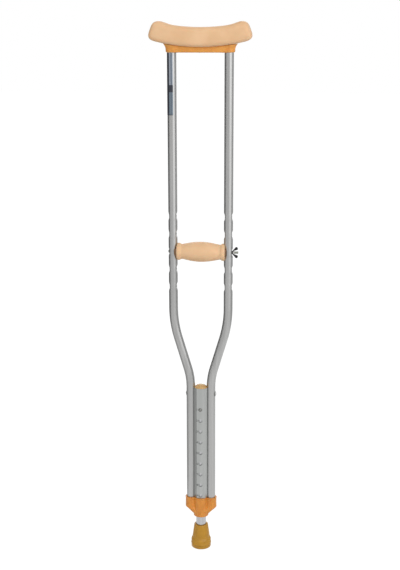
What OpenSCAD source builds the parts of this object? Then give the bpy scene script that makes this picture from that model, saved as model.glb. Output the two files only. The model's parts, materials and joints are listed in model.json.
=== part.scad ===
// Underarm crutch of aluminium tube: two bow tubes, a centre tube and a leg that telescopes in it.
// The origin is on the floor under the rubber tip's middle. Z is up, and the snap button faces -Y.

/* [Leg] */
// Outside diameter of the leg tube
leg_d = 22.2; // [19:0.1:26]
// Wall of the leg tube
leg_wall = 1.5; // [1:0.1:2.5]
// Leg tube above the snap button
leg_above_button = 21.8; // [12:0.1:28]
// Bare leg between the tip and the bracket at the shortest setting
leg_show = 20.1; // [5:0.1:60]

/* [Rubber tip] */
// Height of the tip
tip_h = 56.4; // [40:0.1:70]
// Diameter of the base
tip_base_d = 44.5; // [40:0.1:60]
// Height at which the base steps in
tip_step_z = 19; // [12:0.5:26]
// Height of the slope of that step
tip_step_h = 5; // [2:0.5:8]
// Diameter above the step
tip_waist_d = 38.5; // [34:0.1:39.5]
// Diameter at the top
tip_top_d = 31; // [28:0.1:33]
// Radius of the base's lower edge
tip_edge_r = 3; // [1:0.25:5]
// Radius of the top rim
tip_rim_r = 2; // [0.5:0.25:3]
// Rubber under the washer
tip_sole_t = 12.4; // [8:0.1:16]
// Depth of the tread rings in the sole
tread_depth = 1.5; // [0.5:0.25:3]
// Width of a tread ring
tread_w = 2; // [1:0.25:3]
// Thickness of the steel washer under the leg
washer_t = 2; // [1:0.25:4]
// Hole in that washer
washer_hole_d = 8; // [4:0.5:12]

/* [Centre tube] */
// Length of the centre tube
centre_l = 279; // [260:1:420]
// Wall over the bore, at the flat faces
centre_wall = 1.6; // [1.2:0.1:3]
// Rise of the faces' crown
centre_crown = 0.5; // [0.1:0.1:1]
// Width of the crowned faces
centre_face_w = 15.6; // [12:0.1:18]
// Overall width, over the horns
centre_w = 29.8; // [28:0.1:32]
// Half depth at the horns
centre_horn_y = 6.9; // [6.5:0.1:9]
// Wall left between the bore and a bow tube's seat
centre_seat_wall = 1.2; // [0.8:0.1:2.5]
// Pitch of the height holes
hole_pitch = 25.4; // [20:0.1:30]
// Number of height holes
hole_count = 9; // [5:1:9]
// First hole, below the tube's top
hole_from_top = 48.8; // [46:0.1:60]
// Diameter of the height holes
hole_d = 8.3; // [7:0.1:9]

/* [Centre cap] */
// Rise of the cap's dome
cap_rise = 6.5; // [5:0.25:10]
// Length of the cap's plug
cap_plug_l = 8; // [4:0.5:9]
// Wall of the plug
cap_plug_wall = 2; // [1:0.25:4]

/* [Snap button] */
// Diameter of the button
button_d = 7.9; // [6:0.1:8]
// How far the button stands out of the tube
button_out = 2.6; // [1.5:0.1:4]
// Width of the leaf spring
leaf_w = 8; // [5:0.25:9]
// Thickness of the leaf spring
leaf_t = 0.8; // [0.4:0.1:1.2]
// Length of the spring below the button
leaf_below = 42; // [25:1:60]
// Length of the spring above the button
leaf_above = 8; // [6:0.5:11]

/* [Bottom bracket] */
// Height of the bracket
bracket_h = 48.5; // [40:0.5:70]
// Floor under the tubes, which the leg runs through
bracket_floor = 24.5; // [22:0.5:30]
// Height of the tapered foot
bracket_taper_h = 21.5; // [15:0.5:22]
// Wall round the bow tubes
bracket_wall = 3; // [2:0.25:5]
// Wall round the centre tube's faces
bracket_front_wall = 3; // [2:0.25:6]
// Height of the lip at the top
bracket_lip_h = 2.5; // [1:0.25:5]
// How far the lip stands out
bracket_lip = 0.6; // [0.2:0.1:1.5]

/* [Bow tubes] */
// Diameter of the bow tubes
bow_d = 19.05; // [18:0.05:22]
// Wall of the bow tubes
bow_wall = 1.25; // [0.8:0.05:2]
// Distance between the bow tubes' centres at the grip
bow_pitch = 118; // [105:0.1:130]
// Angle of the splayed stretch
bow_splay = 16.7; // [12:0.1:25]
// Radius of the lower bend
low_bend_r = 150; // [120:1:200]
// Radius of the upper bend
high_bend_r = 240; // [150:1:300]
// How much thicker the tube is where it is bent
bend_swell = 0.1; // [0.05:0.01:0.2]
// Height of the lowest grip hole above the floor
dimple_low_z = 606.7; // [595:0.1:640]
// Pitch of the grip holes
dimple_pitch = 38.1; // [30:0.1:45]
// Number of grip holes
dimple_count = 5; // [3:1:7]
// Depth of the pressed dimples
dimple_depth = 2.1; // [1:0.1:3]
// Height of a dimple
dimple_h = 20; // [16:0.5:26]
// Height of a dimple's flat floor
dimple_flat = 8; // [6:0.5:10]

/* [Frame rivet] */
// Height of the rivet below the centre tube's top
rivet_from_top = 14.4; // [13:0.1:20]
// Diameter of the rivet
rivet_d = 6; // [4:0.25:7]
// Diameter of its factory head
rivet_head_d = 10; // [8:0.25:13]
// Height of its heads
rivet_head_h = 1.3; // [0.8:0.1:2.5]
// Diameter of its formed head
rivet_formed_d = 8.5; // [7:0.25:11]
// Diameter of the washer under the formed head
rivet_washer_d = 11.5; // [9:0.25:14]
// Thickness of that washer
rivet_washer_t = 0.8; // [0.5:0.1:1.5]

/* [Handgrip] */
// Which grip hole holds the grip, counted from the lowest
grip_hole = 2; // [0:1:2]
// Diameter of the core
core_d = 24.4; // [22:0.1:27]
// How far the core's ends wrap the bow tubes
core_wrap = 5.7; // [3:0.1:7]
// Height of those ends, outside the foam
core_end_h = 15; // [10:0.5:20]
// Diameter of the foam sleeve at its middle
sleeve_mid_d = 42.8; // [38:0.1:50]
// Diameter of the foam sleeve at its necks
sleeve_neck_d = 31.6; // [30:0.1:36]
// Diameter of the beads at its ends
sleeve_bead_d = 36; // [33:0.1:38]
// Length of a bead
sleeve_bead_l = 9.5; // [7:0.5:12]
// How far the foam reaches past the tubes' inner sides
sleeve_overlap = 2.7; // [1:0.1:5]
// Radius of the sleeve's end edges
sleeve_edge_r = 3; // [1:0.25:3.25]

/* [Grip bolt and wing nut] */
// Diameter of the bolt
bolt_d = 5; // [4:0.25:6]
// How far the bolt reaches past the dimple's floor
bolt_past = 13.5; // [11:0.25:20]
// Diameter of the bolt's head
bolt_head_d = 7.6; // [7:0.1:7.8]
// Height of the bolt's head
bolt_head_h = 2.9; // [2:0.1:3.5]
// Diameter of the nut's hub at the tube
hub_d = 7.8; // [7.2:0.1:8]
// Length of the hub
hub_l = 4.5; // [4:0.25:7]
// Wall of the hub round its insert
hub_wall = 0.7; // [0.5:0.1:1]
// How far the insert stands out of the hub
insert_out = 0.8; // [0.2:0.1:2]
// Radius of a wing's tip
wing_tip_r = 3; // [2:0.1:4]
// Height of a wing tip's centre beside the axis
wing_rise = 8.4; // [7:0.1:12]
// Distance of a wing tip's centre from the nut's face
wing_reach = 9.6; // [8:0.1:14]
// Thickness of a wing
wing_t = 2.6; // [1.5:0.1:4]
// Width of a wing where it leaves the hub
wing_root_w = 1.8; // [1.2:0.1:3]

/* [Crosspiece] */
// Height of the crosspiece's underside above the floor
rail_z = 1096.7; // [900:0.1:1150]
// Wall round a bow tube's socket
socket_wall = 2.6; // [2:0.1:4]
// Depth of the sockets
socket_depth = 22; // [15:0.5:24]
// Radius of the rail's lower edge
rail_edge_r = 3.5; // [1:0.25:6]
// Height at which the rail flares out under the pad
rail_flare_z = 5.8; // [4:0.1:9]
// How far it flares out
rail_flare = 5; // [2:0.25:7]
// Radius of the flare
rail_flare_r = 16; // [8:0.5:24]
// Thickness of the plate inside the pad
plate_t = 6; // [4:0.5:10]
// Depth of that plate, front to back
plate_w = 32; // [28:0.5:36]
// Length of that plate
plate_l = 178; // [150:1:185]
// Walls and ribs of the hollow rail
rail_wall = 3; // [2:0.25:4]

/* [Underarm pad] */
// Length of the pad
pad_l = 210.8; // [200:0.1:225]
// Height of the pad at its middle
pad_t = 38.6; // [34:0.1:44]
// Depth of the pad, front to back
pad_w = 48; // [44:0.5:56]
// Rise from the crosspiece's underside to the pad's
pad_lift = 11; // [10.5:0.1:12]
// Radius of the pad's curved underside
pad_bottom_r = 389; // [340:1:450]
// Radius of the hollow in the pad's top
pad_top_r = 406; // [380:1:520]
// Foam between the plate and the pad's underside
pad_under_t = 8; // [6:0.5:10]
// Radius of the long edges
pad_edge_r = 12; // [6:0.5:16]
// Height that the long edges' round would have over the pad's middle
pad_edge_rise = 2.5; // [1.5:0.1:5]
// Radius of the lower corners
pad_low_corner_r = 8.5; // [5:0.25:11]
// Radius of the upper corners
pad_high_corner_r = 11; // [8:0.25:13]
// Height of the upper corners over the pad's middle
pad_horn_rise = 12.1; // [8:0.1:13]
// How far the upper corners stand in from the lower ones
pad_lean = 6.4; // [4:0.1:14]
// Distance from the middle at which the pad's top starts to rise to its corners
pad_rise_x = 57; // [45:1:65]

/* [Tube label] */
// Length of the label
label_l = 126; // [60:1:140]
// Thickness of the label
label_t = 0.2; // [0.1:0.05:0.4]
// Angle that the label covers round the tube
label_arc = 150; // [60:5:180]
// Angle at which the label starts, behind the tube's outer side
label_start = 40; // [0:5:60]

/* [Fits] */
// Gap round the leg in the centre tube and the bracket
slide_gap = 0.3; // [0.1:0.05:0.5]
// Gap round a tube in its socket, and under a head
seat_gap = 0.1; // [0.05:0.05:0.3]
// Gap round foam, and between pieces that move
soft_gap = 0.3; // [0.2:0.05:0.6]
// Gap round the bolt in its holes
bolt_gap = 0.3; // [0.2:0.05:0.5]
// Running gap between the bolt and the nut
thread_gap = 0.05; // [0.02:0.01:0.1]

/* [Hidden] */
$fn = 96;
fine = 240;
soft_fn = 48;
eps = 0.01;
// How far a straight stretch of tube runs into a bend
bend_lap = 0.5;

leg_r = leg_d / 2;
leg_z = tip_sole_t + washer_t;
bracket_z = tip_h + leg_show;
bracket_top_z = bracket_z + bracket_h;
tube_z = bracket_z + bracket_floor;
centre_top_z = tube_z + centre_l;
button_z = centre_top_z - hole_from_top;
rivet_z = centre_top_z - rivet_from_top;
bore_r = leg_r + slide_gap;
centre_y = bore_r + centre_wall;
bow_r = bow_d / 2;
seat_r = bow_r + seat_gap;
bow_low_x = bore_r + centre_seat_wall + seat_r;
bow_high_x = bow_pitch / 2;
rail_r = seat_r + socket_wall;
socket_top_z = rail_z + socket_depth;
bow_top_z = socket_top_z - soft_gap;
grip_z = dimple_low_z + grip_hole * dimple_pitch;
floor_x = bow_r - dimple_depth;
bolt_r = bolt_d / 2;
bolt_hole_r = bolt_r + bolt_gap;
pad_z = rail_z + pad_lift;
pad_axis_z = pad_z + pad_bottom_r;
pad_horn_z = pad_z + pad_t + pad_horn_rise;
sleeve_half_l = bow_high_x - bow_r + sleeve_overlap;
plate_r = pad_bottom_r - pad_under_t;

// Carries its children to both sides of the middle plane
module both_sides() {
    for (side = [0, 1])
        mirror([side, 0, 0])
            children();
}

// Turns a profile that is drawn in X and Z, so that it runs through along Y
module through_y(depth) {
    rotate([90, 0, 0])
        linear_extrude(depth, center = true)
            children();
}

// Low round head: a slice of a ball, standing on the XY plane
module dome(d, h) {
    r = (d * d / 4 + h * h) / (2 * h);
    intersection() {
        translate([0, 0, h - r])
            sphere(r, $fn = fine);
        cylinder(d = d, h = h);
    }
}

// Rubber tip

module tip_outline() {
    base_r = tip_base_d / 2;
    waist_r = tip_waist_d / 2;
    top_r = tip_top_d / 2;
    step_top_z = tip_step_z + tip_step_h;
    polygon([[0, 0], [base_r - tip_edge_r, 0], [base_r, tip_edge_r], [base_r, tip_step_z],
             [waist_r, step_top_z], [top_r, tip_h - tip_rim_r], [top_r - tip_rim_r, tip_h],
             [0, tip_h]]);
    translate([base_r - tip_edge_r, tip_edge_r])
        circle(tip_edge_r);
    translate([top_r - tip_rim_r, tip_h - tip_rim_r])
        circle(tip_rim_r);
}

module rubber_tip() {
    color("#b28634")
    difference() {
        rotate_extrude()
            intersection() {
                tip_outline();
                square([tip_base_d, tip_h]);
            }
        translate([0, 0, tip_sole_t])
            cylinder(r = leg_r + seat_gap, h = tip_h);
        for (ring = [1, 2])
            translate([0, 0, -eps])
                difference() {
                    cylinder(r = ring * tip_base_d / 6 + tread_w, h = tread_depth + eps);
                    cylinder(r = ring * tip_base_d / 6, h = tread_depth + eps);
                }
    }
}

module tip_washer() {
    color("silver")
    translate([0, 0, tip_sole_t])
        difference() {
            cylinder(r = leg_r, h = washer_t);
            cylinder(d = washer_hole_d, h = washer_t);
        }
}

// Leg tube, with its spring and snap button

module leg_tube() {
    color("#b4b4b0")
    difference() {
        translate([0, 0, leg_z])
            cylinder(r = leg_r, h = button_z + leg_above_button - leg_z);
        translate([0, 0, leg_z])
            cylinder(r = leg_r - leg_wall, h = button_z + leg_above_button - leg_z);
        translate([0, 0, button_z])
            rotate([90, 0, 0])
                cylinder(d = hole_d, h = leg_d);
    }
}

leaf_y = sqrt(pow(leg_r - leg_wall, 2) - pow(leaf_w / 2, 2)) - seat_gap;

module leaf_outline() {
    arm_h = leaf_below + leaf_above;
    for (side = [-1, 1])
        translate([side * (leaf_y - leaf_t / 2) - leaf_t / 2, 0])
            square([leaf_t, arm_h]);
    intersection() {
        difference() {
            circle(leaf_y);
            circle(leaf_y - leaf_t);
        }
        translate([-leaf_y, -leaf_y])
            square([2 * leaf_y, leaf_y]);
    }
}

module button_spring() {
    color("silver")
    translate([0, 0, button_z - leaf_below])
        rotate([90, 0, 90])
            linear_extrude(leaf_w, center = true)
                leaf_outline();
}

module snap_button() {
    button_round_r = button_d * 0.6;
    shank_h = centre_y + centre_crown + button_out - leaf_y - seat_gap;
    color("silver")
    translate([0, -leaf_y - seat_gap, button_z])
        rotate([90, 0, 0])
            intersection() {
                cylinder(d = button_d, h = shank_h);
                translate([0, 0, shank_h - button_round_r])
                    sphere(button_round_r);
            }
}

// Centre tube: an extrusion with a round bore and a hollow seat for each bow tube

module centre_outline(grow = 0) {
    half_y = centre_y + grow;
    face_x = centre_face_w / 2;
    horn_x = centre_w / 2 + grow;
    horn_y = centre_horn_y + grow;
    crown_r = (face_x * face_x + centre_crown * centre_crown) / (2 * centre_crown);
    peak_x = face_x - 2 * centre_crown * (horn_x - face_x) / (half_y - horn_y);
    peak_y = half_y + 2 * centre_crown;
    intersection() {
        polygon([[peak_x, peak_y], [horn_x, horn_y], [horn_x, -horn_y], [peak_x, -peak_y],
                 [-peak_x, -peak_y], [-horn_x, -horn_y], [-horn_x, horn_y], [-peak_x, peak_y]]);
        translate([0, half_y + centre_crown - crown_r])
            circle(crown_r, $fn = fine);
        translate([0, crown_r - half_y - centre_crown])
            circle(crown_r, $fn = fine);
    }
}

module bow_seats(r) {
    for (side = [-1, 1])
        translate([side * bow_low_x, 0])
            circle(r);
}

module centre_tube() {
    color("#adafab")
    difference() {
        translate([0, 0, tube_z])
            linear_extrude(centre_l)
                difference() {
                    centre_outline();
                    bow_seats(seat_r);
                    circle(bore_r);
                }
        for (i = [0 : hole_count - 1])
            translate([0, 0, button_z - i * hole_pitch])
                rotate([90, 0, 0])
                    cylinder(d = hole_d, h = centre_w);
        translate([0, 0, rivet_z])
            rotate([0, 90, 0])
                cylinder(d = rivet_d + 2 * seat_gap, h = centre_w, center = true);
    }
}

module centre_cap() {
    half_w = centre_w / 2;
    dome_r = (half_w * half_w + cap_rise * cap_rise) / (2 * cap_rise);
    color("#d89e58")
    translate([0, 0, centre_top_z]) {
        intersection() {
            linear_extrude(cap_rise)
                difference() {
                    centre_outline();
                    bow_seats(seat_r + bend_swell);
                }
            translate([0, 0, cap_rise - dome_r])
                sphere(dome_r, $fn = fine);
        }
        translate([0, 0, -cap_plug_l])
            difference() {
                cylinder(r = bore_r - seat_gap, h = cap_plug_l);
                translate([0, 0, -eps])
                    cylinder(r = bore_r - seat_gap - cap_plug_wall, h = cap_plug_l + eps);
            }
    }
}

// Bottom bracket: three sleeves moulded in one, tapered to the leg

lobe_r = seat_r + bracket_wall;
front_r = centre_y + centre_crown + bracket_front_wall;

module bracket_lobes(grow = 0) {
    circle(front_r + grow);
    for (side = [-1, 1])
        translate([side * bow_low_x, 0])
            circle(lobe_r + grow);
}

module bottom_bracket() {
    taper_top_z = bracket_z + bracket_taper_h;
    color("#ce823a")
    difference() {
        union() {
            translate([0, 0, taper_top_z])
                linear_extrude(bracket_h - bracket_taper_h)
                    bracket_lobes();
            translate([0, 0, bracket_top_z - bracket_lip_h])
                linear_extrude(bracket_lip_h)
                    bracket_lobes(bracket_lip);
            translate([0, 0, bracket_z])
                cylinder(r = front_r, h = bracket_taper_h);
            for (side = [-1, 1])
                hull($fn = fine / 3) {
                    translate([side * bow_low_x, 0, taper_top_z])
                        cylinder(r = lobe_r, h = eps);
                    translate([0, 0, bracket_z])
                        cylinder(r = lobe_r, h = eps);
                }
        }
        translate([0, 0, tube_z])
            linear_extrude(bracket_h) {
                centre_outline(seat_gap);
                bow_seats(seat_r);
            }
        translate([0, 0, bracket_z - eps])
            cylinder(r = bore_r, h = bracket_h);
    }
}

// Bow tubes: straight, bent out, splayed, bent back and straight again

// One solid bow of radius r. The dimples are cut to a depth that leaves the wall even.
module bow_bar(r, inset) {
    offset_x = bow_high_x - bow_low_x;
    splay_l = (offset_x - (low_bend_r + high_bend_r) * (1 - cos(bow_splay))) / sin(bow_splay);
    low_x = bow_low_x + low_bend_r * (1 - cos(bow_splay));
    low_z = centre_top_z + low_bend_r * sin(bow_splay);
    high_z = low_z + splay_l * cos(bow_splay) + high_bend_r * sin(bow_splay);
    translate([bow_low_x, 0, tube_z])
        cylinder(r = r, h = centre_l + bend_lap);
    translate([bow_low_x + low_bend_r, 0, centre_top_z])
        rotate([90, 0, 0])
            rotate([0, 0, 180])
                rotate_extrude(angle = -bow_splay)
                    translate([low_bend_r, 0])
                        circle(r + bend_swell);
    translate([low_x, 0, low_z])
        rotate([0, bow_splay, 0])
            translate([0, 0, -bend_lap])
                cylinder(r = r, h = splay_l + 2 * bend_lap);
    translate([bow_high_x - high_bend_r, 0, high_z])
        rotate([90, 0, 0])
            rotate_extrude(angle = -bow_splay)
                translate([high_bend_r, 0])
                    circle(r + bend_swell);
    difference() {
        translate([bow_high_x, 0, high_z - bend_lap])
            cylinder(r = r, h = bow_top_z - high_z + bend_lap);
        for (i = [0 : dimple_count - 1])
            translate([bow_high_x, 0, dimple_low_z + i * dimple_pitch])
                both_sides()
                    translate([floor_x - inset, 0, 0])
                        through_y(bow_d)
                            dimple_outline();
    }
}

// Side view of the hollow that the press leaves: a flat floor between two round shoulders
module dimple_outline() {
    slope = (dimple_h - dimple_flat) / 2;
    shoulder_r = (slope * slope + dimple_depth * dimple_depth) / (2 * dimple_depth);
    difference() {
        translate([0, -dimple_h / 2])
            square([dimple_depth + bow_wall, dimple_h]);
        for (end = [-1, 1])
            translate([dimple_depth - shoulder_r, end * dimple_h / 2])
                circle(shoulder_r);
    }
}

module bow_tube() {
    difference() {
        bow_bar(bow_r, 0);
        bow_bar(bow_r - bow_wall, bow_wall);
        for (i = [0 : dimple_count - 1])
            translate([bow_high_x, 0, dimple_low_z + i * dimple_pitch])
                rotate([0, 90, 0])
                    cylinder(r = bolt_hole_r, h = bow_d, center = true);
        translate([bow_low_x, 0, rivet_z])
            rotate([0, 90, 0])
                cylinder(d = rivet_d + 2 * seat_gap, h = bow_d, center = true);
    }
}

module left_bow_tube() {
    color("#b4b4b0")
    mirror([1, 0, 0])
        bow_tube();
}

module right_bow_tube() {
    color("#b4b4b0")
    bow_tube();
}

module frame_rivet() {
    side_x = bow_low_x + bow_r;
    formed_x = side_x + 2 * seat_gap + rivet_washer_t;
    color("silver")
    translate([0, 0, rivet_z]) {
        translate([-side_x - seat_gap, 0, 0])
            rotate([0, 90, 0])
                cylinder(d = rivet_d, h = formed_x + side_x + seat_gap);
        translate([-side_x - seat_gap, 0, 0])
            rotate([0, -90, 0])
                dome(rivet_head_d, rivet_head_h);
        translate([formed_x, 0, 0])
            rotate([0, 90, 0])
                dome(rivet_formed_d, rivet_head_h);
    }
}

module rivet_washer() {
    color("silver")
    translate([bow_low_x + bow_r + seat_gap, 0, rivet_z])
        rotate([0, 90, 0])
            difference() {
                cylinder(d = rivet_washer_d, h = rivet_washer_t);
                cylinder(d = rivet_d + 2 * seat_gap, h = rivet_washer_t);
            }
}

// Handgrip: a core whose ends saddle the bow tubes, in a foam sleeve

module tube_saddles(gap) {
    for (side = [-1, 1])
        translate([side * bow_high_x, 0, grip_z - sleeve_mid_d])
            cylinder(r = bow_r + gap, h = 2 * sleeve_mid_d);
}

module grip_core() {
    half_l = bow_high_x - bow_r + core_wrap;
    color("#73573c")
    difference() {
        translate([-half_l, 0, grip_z])
            rotate([0, 90, 0])
                cylinder(d = core_d, h = 2 * half_l);
        for (side = [-1, 1], up = [-1, 1])
            translate([side * (sleeve_half_l + core_d / 2), 0, grip_z + up * (core_end_h + core_d) / 2])
                cube(core_d, center = true);
        tube_saddles(seat_gap);
        translate([0, 0, grip_z])
            rotate([0, 90, 0])
                cylinder(r = bolt_hole_r, h = bow_pitch, center = true);
    }
}

// Half profile of the foam: a barrel between two end beads. X is the radius and Y runs along the grip.
module sleeve_outline() {
    half_l = sleeve_half_l;
    barrel_l = half_l - sleeve_bead_l;
    swell = (sleeve_mid_d - sleeve_neck_d) / 2;
    barrel_r = (barrel_l * barrel_l + swell * swell) / (2 * swell);
    bead_r = sleeve_bead_d / 2;
    intersection() {
        translate([sleeve_mid_d / 2 - barrel_r, 0])
            circle(barrel_r, $fn = fine);
        translate([0, -half_l + sleeve_edge_r])
            square([sleeve_mid_d, 2 * (half_l - sleeve_edge_r)]);
    }
    for (end = [-1, 1]) {
        translate([0, end * (half_l - sleeve_bead_l / 2) - sleeve_bead_l / 2 + sleeve_edge_r])
            square([bead_r, sleeve_bead_l - 2 * sleeve_edge_r]);
        translate([0, end * (half_l - sleeve_bead_l / 2) - sleeve_bead_l / 2])
            square([bead_r - sleeve_edge_r, sleeve_bead_l]);
        for (edge = [-1, 1])
            translate([bead_r - sleeve_edge_r,
                       end * (half_l - sleeve_bead_l / 2) + edge * (sleeve_bead_l / 2 - sleeve_edge_r)])
                circle(sleeve_edge_r);
    }
}

module grip_sleeve() {
    color("#e6be8c")
    difference() {
        translate([0, 0, grip_z])
            rotate([0, 90, 0])
                rotate_extrude()
                    sleeve_outline();
        translate([0, 0, grip_z])
            rotate([0, 90, 0])
                cylinder(r = core_d / 2 + soft_gap, h = bow_pitch, center = true);
        tube_saddles(soft_gap);
    }
}

head_x = bow_high_x + floor_x + seat_gap;

module grip_bolt() {
    color("silver")
    translate([0, 0, grip_z]) {
        translate([-head_x, 0, 0])
            rotate([0, 90, 0])
                cylinder(r = bolt_r, h = 2 * head_x - seat_gap + bolt_past);
        translate([-head_x, 0, 0])
            rotate([0, -90, 0])
                dome(bolt_head_d, bolt_head_h);
    }
}

insert_r = hub_d / 2 - hub_wall;

// Plastic wing nut: a hub that tapers a little, and two wings that lean away from the tube
module wing_nut() {
    root_r = wing_root_w / 2;
    color("#141414")
    translate([head_x, 0, grip_z])
        difference() {
            union() {
                rotate([0, 90, 0])
                    cylinder(d = hub_d, h = hub_l);
                for (side = [-1, 1])
                    through_y(wing_t)
                        hull($fn = soft_fn) {
                            translate([wing_reach, side * wing_rise])
                                circle(wing_tip_r);
                            translate([dimple_depth + 2 * root_r, side * (hub_d / 2 - root_r)])
                                circle(root_r);
                        }
            }
            rotate([0, 90, 0])
                cylinder(r = insert_r + seat_gap, h = wing_reach);
        }
}

module wing_nut_insert() {
    color("#8a8d86")
    translate([head_x, 0, grip_z])
        rotate([0, 90, 0])
            difference() {
                cylinder(r = insert_r, h = hub_l + insert_out);
                cylinder(r = bolt_r + thread_gap, h = hub_l + insert_out);
            }
}

// Crosspiece: a rail with a socket for each bow tube, and a plate that the foam is drawn over

// Half section of the rail. X is the distance from its middle line, and Y is the height.
module rail_section() {
    flare_h = socket_depth - rail_flare_z;
    difference() {
        union() {
            translate([0, rail_edge_r])
                square([rail_r, socket_depth + rail_wall - rail_edge_r]);
            square([rail_r - rail_edge_r, socket_depth]);
            translate([rail_r - rail_edge_r, rail_edge_r])
                circle(rail_edge_r);
            translate([0, rail_flare_z])
                square([rail_r + rail_flare, flare_h]);
        }
        translate([rail_r + rail_flare_r, rail_flare_z])
            circle(rail_flare_r);
    }
}

module rail_body() {
    for (side = [-1, 1])
        translate([side * bow_high_x, 0, rail_z])
            rotate_extrude()
                rail_section();
    translate([-bow_high_x, 0, rail_z])
        rotate([90, 0, 90])
            linear_extrude(bow_pitch) {
                rail_section();
                mirror([1, 0])
                    rail_section();
            }
}

// Ring round the pad's axis, between two radii and of a given depth
module curved_plate(outer_r, inner_r, depth) {
    translate([0, 0, pad_axis_z])
        rotate([90, 0, 0])
            difference() {
                cylinder(r = outer_r, h = depth, center = true, $fn = fine);
                cylinder(r = inner_r, h = depth + eps, center = true, $fn = fine);
            }
}

module plate(gap) {
    intersection() {
        curved_plate(plate_r + gap, plate_r - plate_t - gap, plate_w + 2 * gap);
        translate([-plate_l / 2 - gap, -pad_w / 2, rail_z])
            cube([plate_l + 2 * gap, pad_w, pad_bottom_r / 2]);
    }
}

// The rail below the foam, and its narrower neck up to the plate
module rail(gap) {
    neck_r = rail_r + gap;
    difference() {
        rail_body();
        curved_plate(pad_bottom_r + soft_gap, pad_bottom_r / 2, pad_w);
    }
    intersection() {
        translate([0, 0, rail_z + rail_flare_z])
            linear_extrude(pad_t) {
                for (side = [-1, 1])
                    translate([side * bow_high_x, 0])
                        circle(neck_r);
                square([bow_pitch, 2 * neck_r], center = true);
            }
        curved_plate(2 * pad_bottom_r, plate_r - plate_t / 2, pad_w);
    }
}

module crosspiece() {
    pocket_l = bow_high_x - rail_r - rail_wall;
    color("#de964b")
    difference() {
        union() {
            rail(0);
            plate(0);
        }
        for (side = [-1, 1]) {
            translate([side * bow_high_x, 0, rail_z - eps])
                cylinder(r = seat_r, h = socket_depth + eps);
            intersection() {
                translate([side * (pocket_l + rail_wall) / 2, 0, rail_z - eps])
                    linear_extrude(pad_t)
                        square([pocket_l, 2 * (rail_r - rail_wall)], center = true);
                curved_plate(2 * pad_bottom_r, pad_bottom_r, pad_w);
            }
        }
    }
}

// Underarm pad: foam drawn over the plate, with a slot below for the rail

module pad_section() {
    depth = 2 * (pad_w / 2 - pad_edge_r);
    height = pad_t + pad_edge_rise;
    translate([pad_bottom_r - height, -depth / 2])
        square([height, depth]);
    translate([pad_bottom_r - height + pad_edge_r, -pad_w / 2])
        square([height - 2 * pad_edge_r, pad_w]);
    for (side = [-1, 1], edge = [pad_bottom_r - height + pad_edge_r, pad_bottom_r - pad_edge_r])
        translate([edge, side * depth / 2])
            circle(pad_edge_r);
}

// Front view of the pad, without its curved underside. The lower corners are round where they meet it.
module pad_front() {
    low_x = pad_l / 2 - pad_low_corner_r;
    low_z = pad_axis_z - sqrt(pow(pad_bottom_r - pad_low_corner_r, 2) - pow(low_x, 2));
    high_x = pad_l / 2 - pad_high_corner_r - pad_lean;
    rise_z = pad_z + pad_t + pad_top_r - sqrt(pow(pad_top_r, 2) - pow(pad_rise_x, 2));
    difference() {
        translate([-pad_rise_x, pad_z])
            square([2 * pad_rise_x, rise_z - pad_z]);
        translate([0, pad_z + pad_t + pad_top_r])
            circle(pad_top_r, $fn = fine);
    }
    for (side = [-1, 1])
        hull($fn = soft_fn) {
            translate([side * low_x, low_z])
                circle(pad_low_corner_r);
            translate([side * high_x, pad_horn_z - pad_high_corner_r])
                circle(pad_high_corner_r);
            polygon([[0, pad_z], [side * pad_rise_x, rise_z], [side * low_x, pad_z]]);
        }
}

module underarm_pad() {
    color("#e8bc94")
    difference() {
        intersection() {
            through_y(pad_w)
                pad_front();
            translate([0, 0, pad_axis_z])
                rotate([90, 0, 0])
                    rotate_extrude($fn = fine)
                        pad_section();
        }
        rail(soft_gap);
        plate(soft_gap);
    }
}

// Bare label, wrapped round the outer side and front of one bow tube

module tube_label() {
    color("#2b3038")
    translate([-bow_high_x, 0, rail_z - label_l])
        rotate([0, 0, 180 - label_start])
            rotate_extrude(angle = label_arc)
                translate([bow_r + thread_gap, 0])
                    square([label_t, label_l - soft_gap]);
}

rubber_tip();
tip_washer();
leg_tube();
button_spring();
snap_button();
bottom_bracket();
centre_tube();
centre_cap();
left_bow_tube();
right_bow_tube();
frame_rivet();
rivet_washer();
grip_core();
grip_sleeve();
grip_bolt();
wing_nut();
wing_nut_insert();
crosspiece();
underarm_pad();
tube_label();
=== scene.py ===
import json
import math

import bmesh
import bpy
from mathutils import Matrix, Vector


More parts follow.
